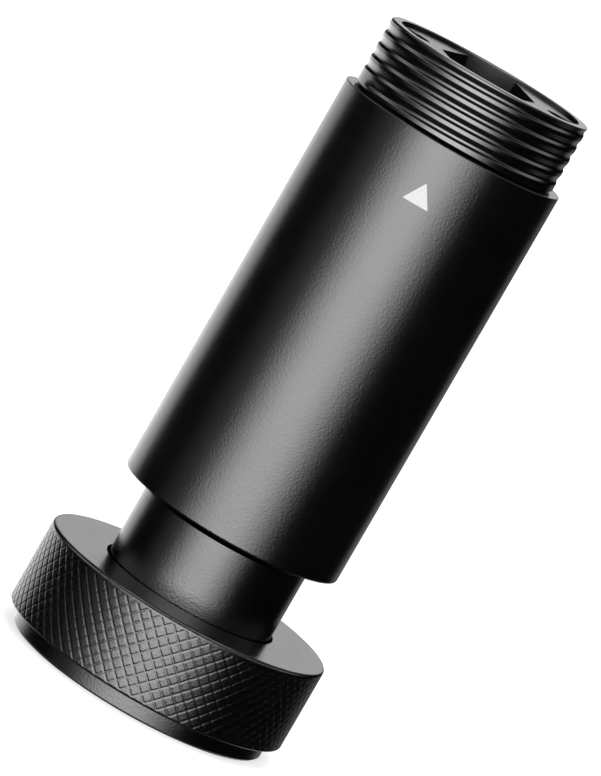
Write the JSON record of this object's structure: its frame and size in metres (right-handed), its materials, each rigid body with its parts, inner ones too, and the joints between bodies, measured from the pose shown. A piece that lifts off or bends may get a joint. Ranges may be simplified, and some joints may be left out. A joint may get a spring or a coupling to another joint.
{
  "type": "laser collimator",
  "caption": "Slim laser collimator: threaded front with a recessed insert, plain barrel, narrower neck, wide knurled brightness knob and a screw-in battery cover.",
  "frame": {"origin": "centre of the flat outer face of the battery cover, on which it stands", "axes": "+Z along the axis towards the threaded front, where the beam leaves; -Y towards the side with the index triangle"},
  "size_m": [0.0588, 0.0588, 0.1347],
  "materials": {
    "black_anodised": "fine bead-blasted satin black anodising",
    "plain_aluminium": "turned, unanodised",
    "brass": "turned brass",
    "white_ink": "matt white fill",
    "black_rubber": "smooth nitrile rubber",
    "optical_glass": "polished and coated",
    "spring_steel": "bright drawn steel",
    "gold_plate": "thin gold plating",
    "black_steel": "black oxide steel",
    "green_board": "green solder mask",
    "dark_moulding": "moulded black plastic",
    "cell_wrap": "shrink film in plain blue",
    "white_plastic": "low friction plastic",
    "amber_film": "flexible circuit film",
    "red_insulation": "soft insulation",
    "black_insulation": "soft insulation"
  },
  "bodies": {
    "root": {"barrel": "black_anodised", "battery_cell": "cell_wrap", "battery_sleeve": "dark_moulding", "board_clips": "spring_steel", "collimating_lens": "optical_glass", "contact_board": "green_board", "diode_holder": "plain_aluminium", "driver_board": "green_board", "driver_parts": "dark_moulding", "exit_window": "optical_glass", "flex_cable": "amber_film", "front_insert": "black_anodised", "front_ring": "black_anodised", "index_triangle": "white_ink", "insert_seal": "black_rubber", "laser_diode": "gold_plate", "lens_cell": "brass", "lens_spring": "spring_steel", "lock_ring": "dark_moulding", "module_grommet": "black_rubber", "module_housing": "brass", "neck_seal": "black_rubber", "neck_tube": "black_anodised", "negative_lead": "black_insulation", "pivot_ring": "black_rubber", "plunger": "spring_steel", "plunger_spring": "spring_steel", "positive_contact": "brass", "positive_lead": "red_insulation", "rear_ring": "black_anodised", "retaining_ring": "spring_steel", "stop_pin": "spring_steel", "switch_board": "green_board", "thrust_washer": "white_plastic", "window_ring": "black_anodised", "window_seal": "black_rubber"},
    "knob": {"knob_grip": "black_anodised", "knob_base": "plain_aluminium", "knob_screws": "black_steel", "detent_spring": "spring_steel", "detent_plug": "black_steel", "wiper_block": "dark_moulding", "wiper_contacts": "gold_plate"},
    "detent_ball": {"detent_ball": "spring_steel"},
    "cover_contact_group": {"cover_insulator": "dark_moulding", "cover_contact": "brass", "cell_spring": "spring_steel"},
    "battery_cover": {"battery_cover": "black_anodised", "cover_seal": "black_rubber"},
    "adjuster_1": {"adjuster_1": "black_steel"},
    "adjuster_2": {"adjuster_2": "black_steel"}
  },
  "joints": [
    {"name": "knob_turn", "type": "hinge", "parent": "root", "child": "knob", "pos_m": [0, 0, 0.0124], "axis": [0, 0, 1], "range_deg": [0, 210]},
    {"name": "detent_travel", "type": "slide", "parent": "knob", "child": "detent_ball", "axis": [0, 1, 0], "range_m": [-0.0003, 0], "stiffness_N_per_m": 200, "springref_m": -0.0003},
    {"name": "cover_travel", "type": "slide", "parent": "root", "child": "cover_contact_group", "axis": [0, 0, 1], "range_m": [-0.004, 0]},
    {"name": "cover_turn", "type": "hinge", "parent": "cover_contact_group", "child": "battery_cover", "pos_m": [0, 0, 0.002], "axis": [0, 0, 1], "range_deg": [-1440, 0]},
    {"name": "adjuster_1_turn", "type": "hinge", "parent": "root", "child": "adjuster_1", "pos_m": [0.01414, 0.01414, 0.0879], "axis": [0.7071, 0.7071, 0], "range_deg": [-180, 180]},
    {"name": "adjuster_2_turn", "type": "hinge", "parent": "root", "child": "adjuster_2", "pos_m": [-0.01414, 0.01414, 0.0879], "axis": [-0.7071, 0.7071, 0], "range_deg": [-180, 180]}
  ],
  "couplings": [
    {"joint": "cover_turn", "follows": "cover_travel", "rad_per_m": 6282.6}
  ]
}
